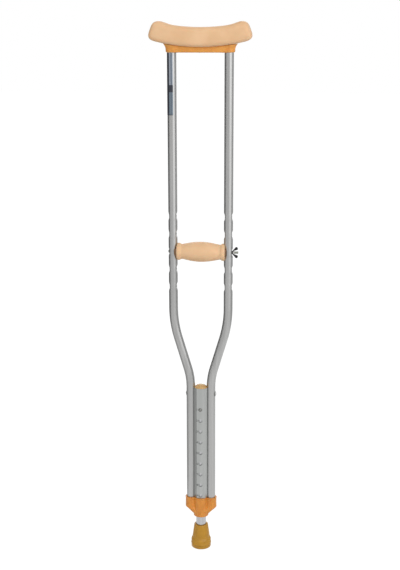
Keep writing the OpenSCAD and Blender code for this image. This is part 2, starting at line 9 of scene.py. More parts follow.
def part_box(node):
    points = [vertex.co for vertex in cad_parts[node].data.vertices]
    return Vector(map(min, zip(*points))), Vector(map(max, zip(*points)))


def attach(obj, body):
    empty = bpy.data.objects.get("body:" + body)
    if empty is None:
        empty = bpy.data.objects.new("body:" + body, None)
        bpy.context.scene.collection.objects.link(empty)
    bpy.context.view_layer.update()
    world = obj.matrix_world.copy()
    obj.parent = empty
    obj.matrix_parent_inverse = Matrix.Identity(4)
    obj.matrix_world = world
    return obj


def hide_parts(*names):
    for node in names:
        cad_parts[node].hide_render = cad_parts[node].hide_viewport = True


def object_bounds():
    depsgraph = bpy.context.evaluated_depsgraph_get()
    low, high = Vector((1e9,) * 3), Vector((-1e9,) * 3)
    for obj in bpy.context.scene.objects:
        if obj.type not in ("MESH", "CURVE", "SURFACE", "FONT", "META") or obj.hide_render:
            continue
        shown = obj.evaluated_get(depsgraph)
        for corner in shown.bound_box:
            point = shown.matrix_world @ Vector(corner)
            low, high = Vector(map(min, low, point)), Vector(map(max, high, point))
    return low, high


# Underarm crutch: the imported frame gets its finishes, and the soft and moulded pieces their own meshes.
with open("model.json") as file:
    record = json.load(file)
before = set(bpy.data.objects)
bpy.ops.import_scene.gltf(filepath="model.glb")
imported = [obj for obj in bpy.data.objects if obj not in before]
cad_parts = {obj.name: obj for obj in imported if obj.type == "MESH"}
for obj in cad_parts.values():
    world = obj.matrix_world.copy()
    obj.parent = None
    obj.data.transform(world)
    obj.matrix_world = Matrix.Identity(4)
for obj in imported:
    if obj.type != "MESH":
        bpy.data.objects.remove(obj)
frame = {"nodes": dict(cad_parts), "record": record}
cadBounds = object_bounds()
nodes = frame["nodes"]
mm = 0.001
tiny = 0.001 * mm       # points closer than this are one point


def addObject(name, data):
    made = bpy.data.objects.new(name, data)
    bpy.context.scene.collection.objects.link(made)
    return made


# Camera, at the photograph's viewing angle

photo = {
    "height": 570,
    "focal": 1080.5,      # focal length in the photo's pixels
    "pitch": 13.93,       # degrees that the camera looks down
    "turn": 6.65,         # degrees that the camera stands to the right
    "distance": 2.245,    # metres in front of the leg's axis
    "eyeHeight": 1.167,   # metres above the origin
    "aside": -0.0016,     # metres to the side of that axis
    "roll": -0.104,       # degrees
    "sensor": 36.0,       # millimetres along the photo's height
    "nearest": 0.05,
    "farthest": 60.0,
}


def makeCamera(spec):
    data = bpy.data.cameras.new("photoCamera")
    data.sensor_width = spec["sensor"]
    data.lens = spec["focal"] * spec["sensor"] / spec["height"]
    data.clip_start = spec["nearest"]
    data.clip_end = spec["farthest"]
    camera = addObject("photoCamera", data)
    turn = math.radians(spec["turn"])
    pitch = math.radians(spec["pitch"])
    camera.location = (spec["aside"] * math.cos(turn) + spec["distance"] * math.sin(turn),
                       spec["aside"] * math.sin(turn) - spec["distance"] * math.cos(turn),
                       spec["eyeHeight"])
    camera.rotation_euler = (math.pi / 2 - pitch, 0.0, turn)
    roll = Matrix.Rotation(math.radians(spec["roll"]), 4, "Z")
    camera.matrix_world = camera.matrix_basis @ roll
    bpy.context.scene.camera = camera


makeCamera(photo)

# Node helpers


def addNode(tree, kind, place, **values):
    node = tree.nodes.new(kind)
    node.location = place
    for name, value in values.items():
        setattr(node, name, value)
    return node


# The node tree of a material or a world, emptied
def clearTree(owner):
    owner.use_nodes = True
    owner.node_tree.nodes.clear()
    return owner.node_tree


def mathNode(tree, operation, first, second, place, third=None):
    node = addNode(tree, "ShaderNodeMath", place, operation=operation)
    for index, value in enumerate((first, second, third)):
        if value is None:
            continue
        if isinstance(value, (int, float)):
            node.inputs[index].default_value = value
        else:
            tree.links.new(value, node.inputs[index])
    return node.outputs[0]


def noiseNode(tree, vector, scale, detail, rough, place):
    node = addNode(tree, "ShaderNodeTexNoise", place)
    tree.links.new(vector, node.inputs["Vector"])
    tree.links.new(scale, node.inputs["Scale"])
    node.inputs["Detail"].default_value = detail
    node.inputs["Roughness"].default_value = rough
    return node.outputs["Fac"]


def mapValue(tree, value, source, target, place):
    node = addNode(tree, "ShaderNodeMapRange", place, interpolation_type="SMOOTHSTEP")
    tree.links.new(value, node.inputs["Value"])
    for label, number in zip(("From Min", "From Max", "To Min", "To Max"), (*source, *target)):
        node.inputs[label].default_value = number
    return node.outputs[0]


def blendColour(tree, factor, low, high, place):
    node = addNode(tree, "ShaderNodeMix", place, data_type="RGBA")
    tree.links.new(factor, node.inputs["Factor"])
    for socket, value in ((node.inputs["A"], low), (node.inputs["B"], high)):
        if isinstance(value, tuple):
            socket.default_value = (*value, 1.0)
        else:
            tree.links.new(value, socket)
    return node.outputs["Result"]


# 1 where a value lies between two limits, and 0 elsewhere
def betweenMask(tree, value, low, high, place):
    above = mathNode(tree, "GREATER_THAN", value, low, place)
    below = mathNode(tree, "LESS_THAN", value, high, (place[0], place[1] - 150))
    return mathNode(tree, "MULTIPLY", above, below, (place[0] + 200, place[1]))


def addBump(tree, shader, height, strength, distance):
    bump = addNode(tree, "ShaderNodeBump", (400, -300))
    bump.inputs["Strength"].default_value = strength
    bump.inputs["Distance"].default_value = distance
    tree.links.new(height, bump.inputs["Height"])
    tree.links.new(bump.outputs[0], shader.inputs["Normal"])


# Node groups: each reads a Vector and some numbers, and puts out masks


def newGroup(name, numbers, masks):
    tree = bpy.data.node_groups.new(name, "ShaderNodeTree")
    tree.interface.new_socket("Vector", in_out="INPUT", socket_type="NodeSocketVector")
    for label, default in numbers.items():
        socket = tree.interface.new_socket(label, in_out="INPUT", socket_type="NodeSocketFloat")
        socket.default_value = default
    for label in masks:
        tree.interface.new_socket(label, in_out="OUTPUT", socket_type="NodeSocketFloat")
    entry = addNode(tree, "NodeGroupInput", (-900, 0))
    leave = addNode(tree, "NodeGroupOutput", (700, 0))
    return tree, entry.outputs, leave.inputs


# Long, fine drawing lines and softer bands along a drawn or extruded tube
def buildDrawnLines():
    tree, entry, leave = newGroup("drawnLines", {"Scale": 900.0, "Stretch": 0.02}, ("Line", "Band"))
    bandShare = 0.16      # the bands' scale, as a share of the lines'
    parts = addNode(tree, "ShaderNodeSeparateXYZ", (-700, 0))
    tree.links.new(entry["Vector"], parts.inputs[0])
    along = mathNode(tree, "MULTIPLY", parts.outputs["Z"], entry["Stretch"], (-500, -100))
    join = addNode(tree, "ShaderNodeCombineXYZ", (-300, 0))
    tree.links.new(parts.outputs["X"], join.inputs["X"])
    tree.links.new(parts.outputs["Y"], join.inputs["Y"])
    tree.links.new(along, join.inputs["Z"])
    line = noiseNode(tree, join.outputs[0], entry["Scale"], detail=4.0, rough=0.6, place=(-100, 100))
    wide = mathNode(tree, "MULTIPLY", entry["Scale"], bandShare, (-300, -300))
    band = noiseNode(tree, join.outputs[0], wide, detail=2.0, rough=0.5, place=(-100, -200))
    tree.links.new(line, leave["Line"])
    tree.links.new(band, leave["Band"])
    return tree


# Cloudy unevenness, fine pits and grain of a moulded or foamed surface
def buildMouldedSkin():
    tree, entry, leave = newGroup(
        "mouldedSkin", {"Cloud Scale": 40.0, "Pit Scale": 900.0, "Pit Size": 0.35},
        ("Cloud", "Pit", "Grain"))
    grainShare = 0.5      # the grain's scale, as a share of the pits'
    cloud = noiseNode(tree, entry["Vector"], entry["Cloud Scale"], detail=3.0, rough=0.55,
                      place=(-500, 200))
    cells = addNode(tree, "ShaderNodeTexVoronoi", (-500, -100))
    tree.links.new(entry["Vector"], cells.inputs["Vector"])
    tree.links.new(entry["Pit Scale"], cells.inputs["Scale"])
    pit = addNode(tree, "ShaderNodeMapRange", (-200, -100), interpolation_type="SMOOTHSTEP")
    tree.links.new(cells.outputs["Distance"], pit.inputs["Value"])
    tree.links.new(entry["Pit Size"], pit.inputs["From Max"])
    pit.inputs["To Min"].default_value = 1.0
    pit.inputs["To Max"].default_value = 0.0
    fine = mathNode(tree, "MULTIPLY", entry["Pit Scale"], grainShare, (-700, -350))
    grain = noiseNode(tree, entry["Vector"], fine, detail=5.0, rough=0.6, place=(-500, -350))
    tree.links.new(cloud, leave["Cloud"])
    tree.links.new(pit.outputs[0], leave["Pit"])
    tree.links.new(grain, leave["Grain"])
    return tree


# Where hands and floors have rubbed: soft patches broken up by fine scuffs
def buildHandling():
    tree, entry, leave = newGroup(
        "handling", {"Patch Scale": 14.0, "Scuff Scale": 260.0}, ("Wear", "Scuff"))
    scuffEdge = (0.56, 0.72)      # where the fine noise turns from clean to scuffed
    patch = noiseNode(tree, entry["Vector"], entry["Patch Scale"], detail=2.0, rough=0.5,
                      place=(-500, 150))
    fine = noiseNode(tree, entry["Vector"], entry["Scuff Scale"], detail=6.0, rough=0.7,
                     place=(-500, -150))
    fleck = mapValue(tree, fine, scuffEdge, (0.0, 1.0), (-250, -150))
    scuff = mathNode(tree, "MULTIPLY", patch, fleck, (0, 0))
    tree.links.new(patch, leave["Wear"])
    tree.links.new(scuff, leave["Scuff"])
    return tree


groups = {
    "lines": buildDrawnLines(),
    "skin": buildMouldedSkin(),
    "handling": buildHandling(),
}


def useGroup(tree, name, vector, place, **values):
    node = addNode(tree, "ShaderNodeGroup", place, node_tree=groups[name])
    tree.links.new(vector, node.inputs["Vector"])
    for label, value in values.items():
        node.inputs[label.replace("_", " ")].default_value = value
    return node.outputs


# Materials: colours run from dark to light and roughness between two values, as the masks say

noiseMiddle = (0.3, 0.7)        # most of a noise lies between these
noiseWide = (0.25, 0.75)


# A Principled material with Object coordinates ready, and its plain values on its own sockets
def startMaterial(name, **plain):
    material = bpy.data.materials.new(name)
    tree = clearTree(material)
    out = addNode(tree, "ShaderNodeOutputMaterial", (900, 0))
    shader = addNode(tree, "ShaderNodeBsdfPrincipled", (600, 0))
    tree.links.new(shader.outputs[0], out.inputs["Surface"])
    for label, value in plain.items():
        shader.inputs[label.replace("_", " ")].default_value = value
    coords = addNode(tree, "ShaderNodeTexCoord", (-1100, 0))
    return material, tree, shader, coords.outputs["Object"]


def toneColour(tree, mask, source, spec):
    tone = mapValue(tree, mask, source, (0.0, 1.0), (-400, 300))
    return blendColour(tree, tone, spec["dark"], spec["light"], (-100, 300))


def toneRoughness(tree, mask, spec):
    return mapValue(tree, mask, noiseMiddle, spec["rough"], (-400, 0))


aluminium = {
    "bow": {"dark": (0.40, 0.40, 0.395), "light": (0.45, 0.45, 0.445),
            "rough": (0.27, 0.34), "lines": 1100.0},
    "centre": {"dark": (0.385, 0.395, 0.385), "light": (0.435, 0.445, 0.435),
               "rough": (0.3, 0.4), "lines": 800.0},
    "leg": {"dark": (0.45, 0.45, 0.46), "light": (0.51, 0.51, 0.52),
            "rough": (0.22, 0.32), "lines": 1100.0},
}
scuffRoughness = 0.04      # what a scuff adds to the metal's roughness


def satinAluminium(name, spec):
    material, tree, shader, place = startMaterial(name, Metallic=1.0)
    lines = useGroup(tree, "lines", place, (-700, 200), Scale=spec["lines"])
    worn = useGroup(tree, "handling", place, (-700, -200))
    tree.links.new(toneColour(tree, lines["Band"], noiseMiddle, spec), shader.inputs["Base Color"])
    rough = toneRoughness(tree, worn["Wear"], spec)
    scuffed = mathNode(tree, "MULTIPLY_ADD", worn["Scuff"], scuffRoughness, (-100, 0), rough)
    tree.links.new(scuffed, shader.inputs["Roughness"])
    addBump(tree, shader, lines["Line"], strength=0.03, distance=0.02 * mm)
    return material


mouldings = {
    "amber": {"dark": (0.66, 0.265, 0.036), "light": (0.76, 0.33, 0.052), "rough": (0.34, 0.46)},
    # the same amber made darker: painted shade on the bottom bracket, which sits further from the light
    "shadedAmber": {"dark": (0.62, 0.222, 0.022), "light": (0.72, 0.28, 0.034), "rough": (0.36, 0.48)},
    # the same amber made paler: painted highlight on the centre cap's upward face
    "highlitAmber": {"dark": (0.54, 0.32, 0.112), "light": (0.63, 0.39, 0.155), "rough": (0.4, 0.5)},
    "black": {"dark": (0.008, 0.008, 0.009), "light": (0.016, 0.016, 0.018), "rough": (0.3, 0.42)},
    "brown": {"dark": (0.19, 0.1, 0.045), "light": (0.25, 0.14, 0.065), "rough": (0.5, 0.62)},
}
amberGlow = {"Subsurface_Weight": 0.2, "Subsurface_Scale": 3.0 * mm}      # light goes a little way in


def mouldedPlastic(name, spec, **plain):
    material, tree, shader, place = startMaterial(name, **plain)
    skin = useGroup(tree, "skin", place, (-700, 200), Cloud_Scale=60.0, Pit_Scale=1500.0)
    worn = useGroup(tree, "handling", place, (-700, -200), Patch_Scale=30.0)
    tree.links.new(toneColour(tree, skin["Cloud"], noiseMiddle, spec), shader.inputs["Base Color"])
    tree.links.new(toneRoughness(tree, worn["Wear"], spec), shader.inputs["Roughness"])
    addBump(tree, shader, skin["Grain"], strength=0.15, distance=0.08 * mm)
    return material


foam = {"dark": (0.72, 0.44, 0.23), "light": (0.79, 0.51, 0.285), "rough": (0.6, 0.75)}


def foamSkin(name, spec):
    material, tree, shader, place = startMaterial(
        name, Subsurface_Weight=0.12, Subsurface_Scale=4.0 * mm, Sheen_Weight=0.12, Sheen_Roughness=0.5)
    skin = useGroup(tree, "skin", place, (-700, 200), Cloud_Scale=26.0, Pit_Scale=1400.0)
    tree.links.new(toneColour(tree, skin["Cloud"], noiseWide, spec), shader.inputs["Base Color"])
    tree.links.new(toneRoughness(tree, skin["Grain"], spec), shader.inputs["Roughness"])
    pitted = mathNode(tree, "SUBTRACT", skin["Grain"], skin["Pit"], (-100, -200))
    addBump(tree, shader, pitted, strength=0.25, distance=0.2 * mm)
    return material


rubber = {"dark": (0.435, 0.212, 0.0095), "light": (0.52, 0.26, 0.0155), "dust": (0.5, 0.36, 0.16),
          "rough": (0.42, 0.56)}


def naturalRubber(name, spec):
    material, tree, shader, place = startMaterial(name, Specular_IOR_Level=0.4)
    skin = useGroup(tree, "skin", place, (-700, 200), Cloud_Scale=90.0, Pit_Scale=1000.0)
    worn = useGroup(tree, "handling", place, (-700, -200), Patch_Scale=50.0, Scuff_Scale=500.0)
    colour = toneColour(tree, skin["Cloud"], noiseWide, spec)
    dusty = blendColour(tree, worn["Scuff"], colour, spec["dust"], (100, 300))
    tree.links.new(dusty, shader.inputs["Base Color"])
    tree.links.new(toneRoughness(tree, worn["Wear"], spec), shader.inputs["Roughness"])
    addBump(tree, shader, skin["Grain"], strength=0.3, distance=0.15 * mm)
    return material


steels = {
    "bright": {"colour": (0.6, 0.6, 0.58), "rough": (0.22, 0.36)},
    "spring": {"colour": (0.36, 0.36, 0.35), "rough": (0.3, 0.45)},
    "bolt": {"colour": (0.3, 0.31, 0.27), "rough": (0.3, 0.42)},
    "insert": {"colour": (0.5, 0.5, 0.48), "rough": (0.3, 0.42)},
    # darker than the other steels: real steel with painted shade of the hole it sits in
    "button": {"colour": (0.24, 0.24, 0.23), "rough": (0.1, 0.18)},
    "rivet": {"colour": (0.62, 0.62, 0.61), "rough": (0.45, 0.6), "metal": 0.3},
}
scuffShade = 0.6       # a scuff's colour, as a share of the steel's


def platedSteel(name, spec):
    material, tree, shader, place = startMaterial(name, Metallic=spec.get("metal", 1.0))
    worn = useGroup(tree, "handling", place, (-700, -200), Patch_Scale=120.0, Scuff_Scale=900.0)
    dull = tuple(scuffShade * part for part in spec["colour"])
    colour = blendColour(tree, worn["Scuff"], spec["colour"], dull, (-100, 300))
    tree.links.new(colour, shader.inputs["Base Color"])
    tree.links.new(toneRoughness(tree, worn["Wear"], spec), shader.inputs["Roughness"])
    addBump(tree, shader, worn["Scuff"], strength=0.1, distance=0.04 * mm)
    return material


# Bare printed film: a dark edge strip, and paler blank panels on the side that faces front
labelFilm = {
    "ink": (0.012, 0.016, 0.03),
    "panel": (0.32, 0.35, 0.4),
    # colour of a painted dark reflection streak on the panels
    "paintedReflection": (0.12, 0.15, 0.19),
    "lowPanel": (0.17, 0.22, 0.26),
    "panelShine": 0.8,
    "rough": (0.25, 0.4),
    "panelLow": 0.972,        # this and the rest are places in metres
    "panelHigh": 1.12,
    "bandLow": 1.0175,        # a dark band parts the two panels
    "bandHigh": 1.032,
    "panelEdge": -0.0635,
    "paintedReflectionX": -0.0588,       # a painted dark reflection streak down the panels
    "paintedReflectionHalf": 0.003,
}


def printedFilm(name, spec):
    material, tree, shader, place = startMaterial(name, Coat_Weight=0.3, Coat_Roughness=0.2)
    parts = addNode(tree, "ShaderNodeSeparateXYZ", (-900, 200))
    tree.links.new(place, parts.inputs[0])
    x = parts.outputs["X"]
    z = parts.outputs["Z"]
    across = mathNode(tree, "GREATER_THAN", x, spec["panelEdge"], (-600, 300))
    upright = betweenMask(tree, z, spec["panelLow"], spec["panelHigh"], (-600, 150))
    band = betweenMask(tree, z, spec["bandLow"], spec["bandHigh"], (-600, -150))
    offBand = mathNode(tree, "SUBTRACT", 1.0, band, (-200, -200))
    panel = mathNode(tree, "MULTIPLY", across, upright, (-200, 250))
    panel = mathNode(tree, "MULTIPLY", panel, offBand, (0, 250))
    overBand = mathNode(tree, "GREATER_THAN", z, spec["bandLow"], (-200, 450))
    toned = blendColour(tree, overBand, spec["lowPanel"], spec["panel"], (0, 450))
    # painted reflection: a darker streak blended into the panel colour
    offset = mathNode(tree, "SUBTRACT", x, spec["paintedReflectionX"], (-600, 600))
    offset = mathNode(tree, "ABSOLUTE", offset, None, (-400, 600))
    paintedReflection = mapValue(tree, offset, (0.0, spec["paintedReflectionHalf"]), (1.0, 0.0), (-200, 600))
    toned = blendColour(tree, paintedReflection, toned, spec["paintedReflection"], (100, 550))
    colour = blendColour(tree, panel, spec["ink"], toned, (200, 250))
    tree.links.new(colour, shader.inputs["Base Color"])
    shine = mathNode(tree, "MULTIPLY", panel, spec["panelShine"], (200, 50))
    tree.links.new(shine, shader.inputs["Metallic"])
    worn = useGroup(tree, "handling", place, (-700, -500), Patch_Scale=60.0, Scuff_Scale=600.0)
    tree.links.new(toneRoughness(tree, worn["Wear"], spec), shader.inputs["Roughness"])
    return material


finishes = {
    "bow_aluminium": satinAluminium("bowAluminium", aluminium["bow"]),
    "centre_aluminium": satinAluminium("centreAluminium", aluminium["centre"]),
    "leg_aluminium": satinAluminium("legAluminium", aluminium["leg"]),
    "bright_steel": platedSteel("brightSteel", steels["bright"]),
    "spring_steel": platedSteel("springSteel", steels["spring"]),
    "amber_plastic": mouldedPlastic("amberPlastic", mouldings["amber"], **amberGlow),
    "black_plastic": mouldedPlastic("blackPlastic", mouldings["black"], Specular_IOR_Level=0.25),
    "brown_plastic": mouldedPlastic("brownPlastic", mouldings["brown"]),
    "tip_rubber": naturalRubber("tipRubber", rubber),
    "foam_skin": foamSkin("foamSkin", foam),
    "label_film": printedFilm("labelFilm", labelFilm),
}

ownFinishes = {          # pieces that are toned apart from the rest of their slot
    # the bracket's darker amber is painted shade, not a different plastic
    "bottom_bracket": mouldedPlastic("shadedAmber", mouldings["shadedAmber"], **amberGlow),
    # the cap's paler amber is painted highlight, not a different plastic
    "centre_cap": mouldedPlastic("highlitAmber", mouldings["highlitAmber"], **amberGlow),
    "grip_bolt": platedSteel("boltSteel", steels["bolt"]),
    "wing_nut_insert": platedSteel("insertSteel", steels["insert"]),
    # the button's dark steel is partly painted shade
    "snap_button": platedSteel("shadedButtonSteel", steels["button"]),
    "frame_rivet": platedSteel("rivetAluminium", steels["rivet"]),
}
ownFinishes["rivet_washer"] = ownFinishes["frame_rivet"]

for part in frame["record"]["subparts"]:
    slots = nodes[part["node"]].data.materials
    slots.clear()
    slots.append(ownFinishes.get(part["node"], finishes[part["material_slot"]]))
print("finishes are on the CAD nodes")

# Mesh helpers

cutterReach = 4         # a cutter's length, as a multiple of the size that it passes through
copyMerge = 0.02 * mm   # joins the loose triangles of a copied CAD mesh
up = Vector((0.0, 0.0, 1.0))


def makeObject(name, bm):
    mesh = bpy.data.meshes.new(name)
    bm.to_mesh(mesh)
    bm.free()
    return addObject(name, mesh)


# Applies a piece's modifiers, so that its mesh is the final one
def settle(piece):
    graph = bpy.context.evaluated_depsgraph_get()
    final = bpy.data.meshes.new_from_object(piece.evaluated_get(graph))
    piece.modifiers.clear()
    piece.data = final


# Cuts a second object out of a piece, or joins it on, and uses it up
def combine(piece, other, operation):
    change = piece.modifiers.new("combine", "BOOLEAN")
    change.operation = operation
    change.solver = "EXACT"
    change.object = other
    settle(piece)
    bpy.data.objects.remove(other)


def softenEdges(piece, voxel, rounds):
    remesh = piece.modifiers.new("remesh", "REMESH")
    remesh.mode = "VOXEL"
    remesh.voxel_size = voxel
    smooth = piece.modifiers.new("smooth", "SMOOTH")
    smooth.factor = 0.5
    smooth.iterations = rounds
    settle(piece)


def dress(piece, slotName, body, nodeName, sharpAngle, finish=None):
    piece.data.materials.clear()
    piece.data.materials.append(finish or finishes[slotName])
    for face in piece.data.polygons:
        face.use_smooth = True
    piece.data.set_sharp_from_angle(angle=math.radians(sharpAngle))
    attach(piece, body)
    if nodeName:
        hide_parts(nodeName)
    print(piece.name, len(piece.data.polygons), "faces")


# A merged copy of a CAD node's mesh, to finish as a moulding
def copyNode(nodeName, name):
    bm = bmesh.new()
    bm.from_mesh(nodes[nodeName].data)
    bmesh.ops.remove_doubles(bm, verts=bm.verts, dist=copyMerge)
    return makeObject(name, bm)


def blendStep(value, low, high):
    share = min(max((value - low) / (high - low), 0.0), 1.0)
    return share * share * (3.0 - 2.0 * share)


def arcPoints(centreR, centreZ, radius, fromTurn, toTurn, count):
    turns = [fromTurn + (toTurn - fromTurn) * index / count for index in range(count + 1)]
    return [(centreR + radius * math.cos(turn), centreZ + radius * math.sin(turn)) for turn in turns]


# Turns a profile all the way round an axis: a closed one leaves a bore, an open one ends on the axis
def spinProfile(bm, points, centre, axis, steps, closed):
    verts = [bm.verts.new(point) for point in points]
    pairs = list(zip(verts, verts[1:]))
    if closed:
        pairs.append((verts[-1], verts[0]))
    edges = [bm.edges.new(pair) for pair in pairs]
    bmesh.ops.spin(bm, geom=verts + edges, cent=centre, axis=axis, angle=2 * math.pi,
                   steps=steps, use_merge=True)
    bmesh.ops.remove_doubles(bm, verts=bm.verts, dist=tiny)
    bmesh.ops.recalc_face_normals(bm, faces=bm.faces)


def addCylinder(bm, radius, depth, matrix, segments):
    bmesh.ops.create_cone(bm, cap_ends=True, segments=segments, radius1=radius, radius2=radius,
                          depth=depth, matrix=matrix)


# Places an upright cylinder so that it lies from left to right
def lyingAt(place):
    return Matrix.Translation(place) @ Matrix.Rotation(math.pi / 2, 4, "Y")


# Underarm pad: a round-edged block of foam, bent to the rail's curve and hollowed along its top

padForm = {
    "middle": 39.8 * mm,        # height at the middle
    "edgeRound": 9.5 * mm,
    "underRadius": 389.0 * mm,
    "hollowRadius": 406.0 * mm,
    "hornStart": 57.0 * mm,
    "hornEnd": 84.0 * mm,
    "hornLift": 3.4 * mm,
    "topInset": 10.5 * mm,      # how far the top stands in from the ends
    "insetFrom": 0.2,
    "insetPower": 1.2,
    "crown": 0.035,             # swell of the long sides at mid height
    "endTaper": 0.05,
    "cells": (44, 10, 9),
    "easing": 3,                # rounds of smoothing over the horns
    "endSpare": 0.8 * mm,       # what the smoothing takes off each end
    "subdivisions": 2,
    "clearance": 0.3 * mm,      # round the rail that sits in the pad
}


# A block whose faces are grids, and whose edges are round
def roundedBlock(half, radius, cells):
    bm = bmesh.new()
    bmesh.ops.create_cube(bm, size=2.0)
    for axis, count in enumerate(cells):
        along = [edge for edge in bm.edges
                 if abs(edge.verts[0].co[axis] - edge.verts[1].co[axis]) > tiny]
        bmesh.ops.subdivide_edges(bm, edges=along, cuts=count - 1, use_grid_fill=True)
    for vert in bm.verts:
        place = Vector(vert.co[axis] * half[axis] for axis in range(3))
        core = Vector(max(min(place[axis], half[axis] - radius), radius - half[axis])
                      for axis in range(3))
        offset = place - core
        if offset.length > radius:
            offset *= radius / offset.length
        vert.co = core + offset
    return bm


def bendPad(bm, spec, half, lowest):
    for vert in bm.verts:
        x, y, z = vert.co
        share = (z + half[2]) / (2.0 * half[2])
        lean = max(0.0, share - spec["insetFrom"]) / (1.0 - spec["insetFrom"])
        x *= 1.0 - spec["topInset"] / half[0] * lean ** spec["insetPower"]
        across = min(abs(x), spec["hornEnd"])
        under = spec["underRadius"] - math.sqrt(spec["underRadius"] ** 2 - x * x)
        over = spec["middle"] + spec["hollowRadius"]
        over -= math.sqrt(spec["hollowRadius"] ** 2 - across ** 2)
        over += spec["hornLift"] * blendStep(abs(x), spec["hornStart"], spec["hornEnd"])
        bulge = 1.0 - spec["crown"] * (2.0 * share - 1.0) ** 2
        bulge *= 1.0 - spec["endTaper"] * (abs(x) / half[0]) ** 4
        vert.co = (x, y * bulge, lowest + under + share * (over - under))


def makePad(spec):
    low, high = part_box("underarm_pad")
    half = ((high.x - low.x) / 2 + spec["endSpare"], (high.y - low.y) / 2, spec["middle"] / 2)
    bm = roundedBlock(half, spec["edgeRound"], spec["cells"])
    bendPad(bm, spec, half, low.z)
    for _ in range(spec["easing"]):
        bmesh.ops.smooth_vert(bm, verts=bm.verts, factor=0.5, use_axis_x=True, use_axis_y=True,
                              use_axis_z=True)
    pad = makeObject("foamPad", bm)
    finer = pad.modifiers.new("subdivision", "SUBSURF")
    finer.levels = spec["subdivisions"]
    finer.render_levels = spec["subdivisions"]
    settle(pad)
    slotCut = copyNode("crosspiece", "padSlotCut")
    swell = slotCut.modifiers.new("clearance", "DISPLACE")
    swell.strength = spec["clearance"]
    swell.mid_level = 0.0
    settle(slotCut)
    combine(pad, slotCut, "DIFFERENCE")
    dress(pad, "foam_skin", "frame", "underarm_pad", sharpAngle=50.0)


makePad(padForm)

# Handgrip foam: a barrel between two round beads, saddled to the bow tubes

gripForm = {
    "middleRadius": 21.4 * mm,
    "neckRadius": 15.8 * mm,
    "neckAt": 41.0 * mm,
    "beadRadius": 18.4 * mm,
    "beadAt": 47.3 * mm,
    "endRound": 3.2 * mm,
    "leftShare": 0.97,          # the foam's left half is a little shorter than its right half
    "boreRadius": 12.5 * mm,
    "saddleRadius": 9.625 * mm,     # the bow tubes' own, and 0.1 mm to spare
    "bowX": 59.0 * mm,
    "barrelSteps": 12,
    "beadSteps": 6,
    "saddleSegments": 96,
    "steps": 72,
}


# The right half's profile, from the middle to the bore in its end
def gripProfile(spec, halfLength):
    points = []
    for index in range(spec["barrelSteps"] + 1):       # the barrel, as a quarter of a cosine wave
        share = index / spec["barrelSteps"]
        swell = (spec["middleRadius"] - spec["neckRadius"]) * math.cos(share * math.pi / 2)
        points.append((spec["neckAt"] * share, spec["neckRadius"] + swell))
    for index in range(1, spec["beadSteps"] + 1):      # up to the bead
        share = index / spec["beadSteps"]
        lift = (1.0 - math.cos(share * math.pi)) / 2
        points.append((spec["neckAt"] + (spec["beadAt"] - spec["neckAt"]) * share,
                       spec["neckRadius"] + (spec["beadRadius"] - spec["neckRadius"]) * lift))
    points += arcPoints(halfLength - spec["endRound"], spec["beadRadius"] - spec["endRound"],
                        spec["endRound"], math.pi / 2, 0.0, spec["beadSteps"])[1:]
    points.append((halfLength, spec["boreRadius"]))
    return points


def makeGrip(spec):
    low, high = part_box("grip_sleeve")
    halfLength = (high.x - low.x) / 2
    gripZ = (high.z + low.z) / 2
    half = gripProfile(spec, halfLength)
    outline = [(-x * spec["leftShare"], radius) for x, radius in reversed(half[1:])] + half
    points = [(x, 0.0, gripZ + radius) for x, radius in outline]
    bm = bmesh.new()
    spinProfile(bm, points, (0.0, 0.0, gripZ), (1.0, 0.0, 0.0), spec["steps"], closed=True)
    grip = makeObject("foamGrip", bm)
    saddle = bmesh.new()
    for side in (-1, 1):
        addCylinder(saddle, spec["saddleRadius"], cutterReach * spec["middleRadius"],
                    Matrix.Translation((side * spec["bowX"], 0.0, gripZ)), spec["saddleSegments"])
    combine(grip, makeObject("saddleCut", saddle), "DIFFERENCE")
    dress(grip, "foam_skin", "frame", "grip_sleeve", sharpAngle=35.0)


makeGrip(gripForm)
print("foam pieces are made")

# Bow tubes: drawn tube, bent out and back, with a pressed flat round each grip hole

bowForm = {
    "radius": 9.525 * mm,
    "wall": 1.25 * mm,
    "lowX": 22.225 * mm,
    "highX": gripForm["bowX"],
    "lowBend": 150.0 * mm,      # radius of the bend out
    "highBend": 240.0 * mm,     # radius of the bend back
    "splay": 16.7,              # degrees between the bends
    "bendZ": 380.0 * mm,
    "dimpleLow": 606.7 * mm,
    "dimplePitch": 38.1 * mm,
    "dimples": 5,
    "dimpleDepth": 2.3 * mm,
    "dimpleHalf": 10.5 * mm,
    "flatHalf": 3.0 * mm,
    "fatten": 0.02,             # how much wider the press leaves the tube from front to back
    "holeRadius": 2.8 * mm,
    "segments": 48,
    "holeSegments": 24,
    "straightSteps": 2,
    "lowBendSteps": 12,
    "highBendSteps": 16,
    "topSteps": 3,
    "ringGap": 1.2 * mm,
    "ringMargin": 4.0 * mm,     # how far the close rings run on past the outer dimples
}


def runTube(bm, ring, move, count):
    for _ in range(count):
        grown = bmesh.ops.extrude_edge_only(bm, edges=ring)["geom"]
        ring = [item for item in grown if isinstance(item, bmesh.types.BMEdge)
                and all(vert in grown for vert in item.verts) and len(item.link_faces) == 1]
        bmesh.ops.translate(bm, verts=[item for item in grown if isinstance(item, bmesh.types.BMVert)],
                            vec=move / count)
    return ring


def bendTube(bm, ring, centre, angle, count):
    turned = bmesh.ops.spin(bm, geom=ring, cent=centre, axis=(0.0, 1.0, 0.0), angle=angle,
                            steps=count, use_merge=False)["geom_last"]
    return [item for item in turned if isinstance(item, bmesh.types.BMEdge)]


